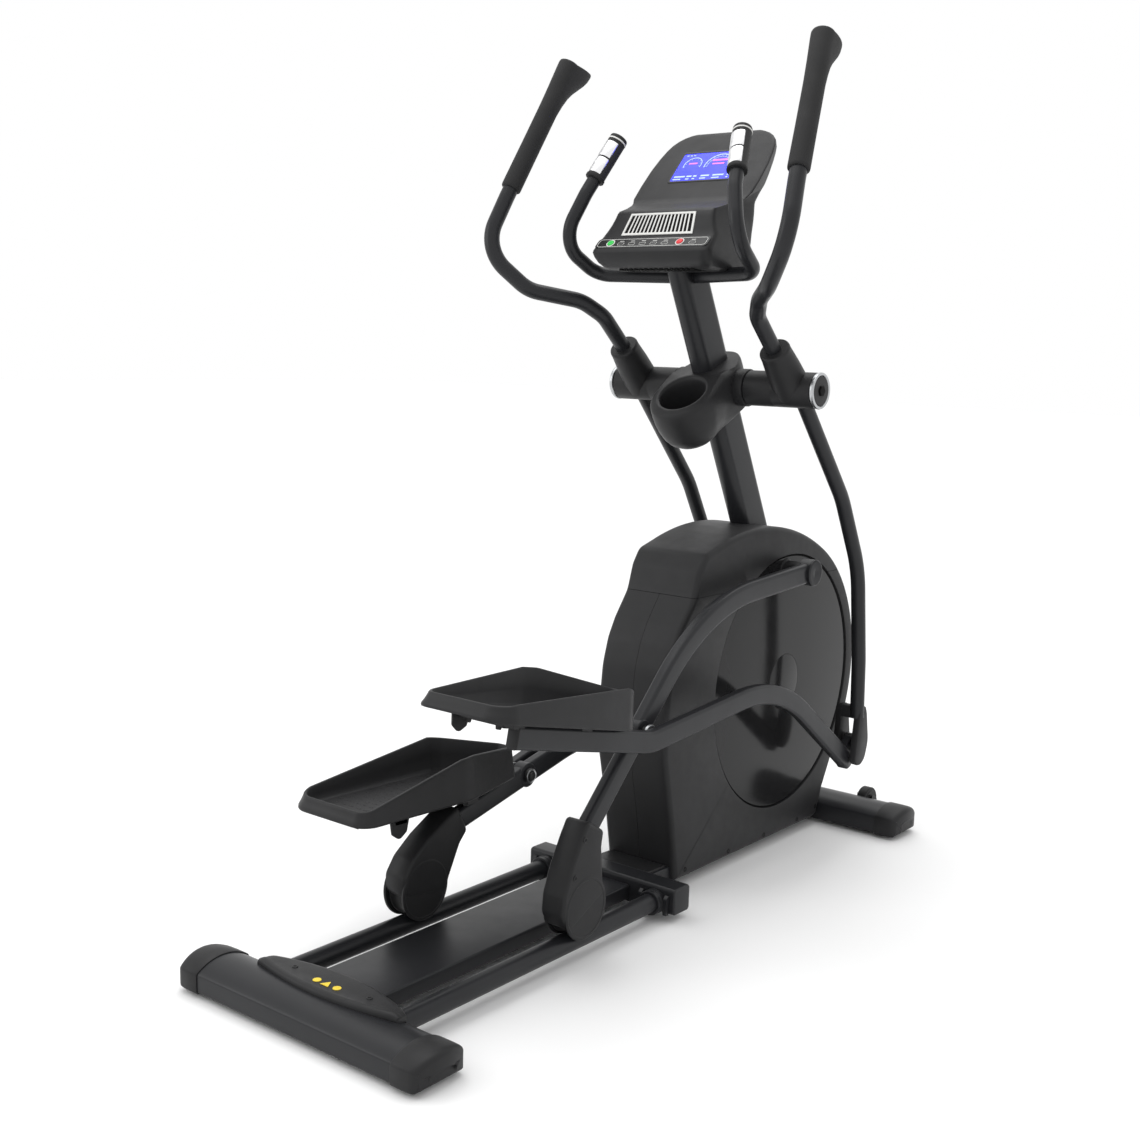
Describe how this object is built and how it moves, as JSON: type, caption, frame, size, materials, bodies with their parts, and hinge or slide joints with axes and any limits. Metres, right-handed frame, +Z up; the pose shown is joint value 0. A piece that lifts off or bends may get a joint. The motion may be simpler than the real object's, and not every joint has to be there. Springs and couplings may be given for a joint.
{
  "type": "elliptical trainer",
  "caption": "Front-crank elliptical trainer with floor rails, rolling arms, foot pedals, swinging handlebars, pulse grips, cup holder and a console.",
  "frame": {"origin": "on the floor, at the middle of the length and width of the machine at rest", "axes": "+X is the user's right, +Y is the way the user faces, +Z is up"},
  "size_m": [0.7206, 1.744, 1.7001],
  "materials": {
    "frame_paint": "satin",
    "housing_plastic": "matte",
    "top_plastic": "matte",
    "trim_plastic": "matte",
    "disc_plastic": "gloss",
    "steel": "satin",
    "bright_plate": "gloss",
    "black_steel": "matte",
    "flywheel_iron": "matte",
    "pulley_alloy": "satin",
    "rubber_foot": "matte",
    "wheel_plastic": "matte",
    "belt_rubber": "matte",
    "foam_grip": "matte",
    "screen_lens": "gloss",
    "grille_white": "matte",
    "key_black": "satin",
    "button_green": "satin",
    "button_red": "satin"
  },
  "bodies": {
    "frame_body": {"main_beam": "frame_paint", "rails": "frame_paint", "cross_member": "frame_paint", "rear_stabilizer": "frame_paint", "rear_caps": "trim_plastic", "rear_cover": "trim_plastic", "front_stabilizer": "frame_paint", "front_caps": "trim_plastic", "feet": "rubber_foot", "wheel_brackets": "frame_paint", "inner_frame": "black_steel", "mast": "frame_paint", "housing_left": "housing_plastic", "housing_right": "housing_plastic", "housing_top": "top_plastic", "swing_axle": "steel", "cup_holder": "trim_plastic", "pulse_bar": "frame_paint", "pulse_grips": "foam_grip", "pulse_plates": "bright_plate", "console_back": "trim_plastic", "console_front": "trim_plastic", "screen": "screen_lens", "grille": "grille_white", "keypad": "key_black", "crank_bearings": "steel", "brake": "black_steel", "drive_belt": "belt_rubber", "fasteners": "black_steel"},
    "crank_body": {"crank_shaft": "steel", "drive_pulley": "pulley_alloy", "crank_arm_left": "black_steel", "crank_arm_right": "black_steel", "crank_disc_left": "disc_plastic", "crank_disc_right": "disc_plastic"},
    "flywheel_body": {"flywheel": "flywheel_iron"},
    "transport_wheel_left_body": {"transport_wheel_left": "wheel_plastic"},
    "transport_wheel_right_body": {"transport_wheel_right": "wheel_plastic"},
    "start_key": {"button_start": "button_green"},
    "stop_key": {"button_stop": "button_red"},
    "carriage_left": {"roller_axle_left": "steel"},
    "roller_left_body": {"roller_left": "wheel_plastic"},
    "roller_arm_left_body": {"roller_arm_left": "frame_paint", "roller_cover_left": "trim_plastic"},
    "pedal_link_left_body": {"pedal_link_left": "frame_paint", "pedal_left": "housing_plastic"},
    "swing_left_body": {"swing_arm_left": "frame_paint", "swing_cover_left": "trim_plastic", "handlebar_left": "frame_paint", "grip_left": "foam_grip"},
    "carriage_right": {"roller_axle_right": "steel"},
    "roller_right_body": {"roller_right": "wheel_plastic"},
    "roller_arm_right_body": {"roller_arm_right": "frame_paint", "roller_cover_right": "trim_plastic"},
    "pedal_link_right_body": {"pedal_link_right": "frame_paint", "pedal_right": "housing_plastic"},
    "swing_right_body": {"swing_arm_right": "frame_paint", "swing_cover_right": "trim_plastic", "handlebar_right": "frame_paint", "grip_right": "foam_grip"}
  },
  "joints": [
    {"name": "crank_turn", "type": "hinge", "parent": "frame_body", "child": "crank_body", "pos_m": [0, 0.513, 0.384], "axis": [-1, 0, 0], "range_deg": [0, 90]},
    {"name": "flywheel_spin", "type": "hinge", "parent": "frame_body", "child": "flywheel_body", "pos_m": [0, 0.258, 0.3], "axis": [-1, 0, 0], "continuous": true},
    {"name": "transport_wheel_left_spin", "type": "hinge", "parent": "frame_body", "child": "transport_wheel_left_body", "pos_m": [-0.15, 0.836, 0.042], "axis": [1, 0, 0], "continuous": true},
    {"name": "transport_wheel_right_spin", "type": "hinge", "parent": "frame_body", "child": "transport_wheel_right_body", "pos_m": [0.15, 0.836, 0.042], "axis": [1, 0, 0], "continuous": true},
    {"name": "start_press", "type": "slide", "parent": "frame_body", "child": "start_key", "axis": [0, 0.695, -0.719], "range_m": [0, 0.0015], "stiffness_N_per_m": 400, "springref_m": -0.0005},
    {"name": "stop_press", "type": "slide", "parent": "frame_body", "child": "stop_key", "axis": [0, 0.695, -0.719], "range_m": [0, 0.0015], "stiffness_N_per_m": 400, "springref_m": -0.0005},
    {"name": "carriage_left_travel", "type": "slide", "parent": "frame_body", "child": "carriage_left", "axis": [0, 1, 0], "range_m": [-0.2416, 0]},
    {"name": "roller_left_spin", "type": "hinge", "parent": "carriage_left", "child": "roller_left_body", "pos_m": [-0.139, -0.43601, 0.105], "axis": [-1, 0, 0], "continuous": true},
    {"name": "roller_arm_left_tilt", "type": "hinge", "parent": "carriage_left", "child": "roller_arm_left_body", "pos_m": [-0.139, -0.43601, 0.105], "axis": [1, 0, 0], "range_deg": [0, 14.85]},
    {"name": "pedal_link_left_tilt", "type": "hinge", "parent": "roller_arm_left_body", "child": "pedal_link_left_body", "pos_m": [-0.139, -0.12734, 0.25791], "axis": [1, 0, 0], "range_deg": [-26.17, 0]},
    {"name": "swing_left_rock", "type": "hinge", "parent": "frame_body", "child": "swing_left_body", "pos_m": [-0.164, 0.303, 1.04], "axis": [1, 0, 0], "range_deg": [-20.9, 0]},
    {"name": "carriage_right_travel", "type": "slide", "parent": "frame_body", "child": "carriage_right", "axis": [0, 1, 0], "range_m": [0, 0.1596]},
    {"name": "roller_right_spin", "type": "hinge", "parent": "carriage_right", "child": "roller_right_body", "pos_m": [0.139, -0.30486, 0.105], "axis": [-1, 0, 0], "continuous": true},
    {"name": "roller_arm_right_tilt", "type": "hinge", "parent": "carriage_right", "child": "roller_arm_right_body", "pos_m": [0.139, -0.30486, 0.105], "axis": [1, 0, 0], "range_deg": [-16.31, 0]},
    {"name": "pedal_link_right_tilt", "type": "hinge", "parent": "roller_arm_right_body", "child": "pedal_link_right_body", "pos_m": [0.139, -0.12669, 0.39982], "axis": [1, 0, 0], "range_deg": [0, 32.7]},
    {"name": "swing_right_rock", "type": "hinge", "parent": "frame_body", "child": "swing_right_body", "pos_m": [0.164, 0.303, 1.04], "axis": [1, 0, 0], "range_deg": [0, 19.68]}
  ],
  "couplings": [
    {"joint": "flywheel_spin", "follows": "crank_turn", "ratio": 5.69},
    {"joint": "carriage_left_travel", "follows": "crank_turn", "m_per_rad": -0.15082},
    {"joint": "roller_left_spin", "follows": "crank_turn", "ratio": -3.1618},
    {"joint": "roller_arm_left_tilt", "follows": "crank_turn", "ratio": 0.16173},
    {"joint": "pedal_link_left_tilt", "follows": "crank_turn", "ratio": -0.28506},
    {"joint": "swing_left_rock", "follows": "crank_turn", "ratio": -0.22769},
    {"joint": "carriage_right_travel", "follows": "crank_turn", "m_per_rad": 0.099625},
    {"joint": "roller_right_spin", "follows": "crank_turn", "ratio": 2.0886},
    {"joint": "roller_arm_right_tilt", "follows": "crank_turn", "ratio": -0.17771},
    {"joint": "pedal_link_right_tilt", "follows": "crank_turn", "ratio": 0.35623},
    {"joint": "swing_right_rock", "follows": "crank_turn", "ratio": 0.21433}
  ]
}
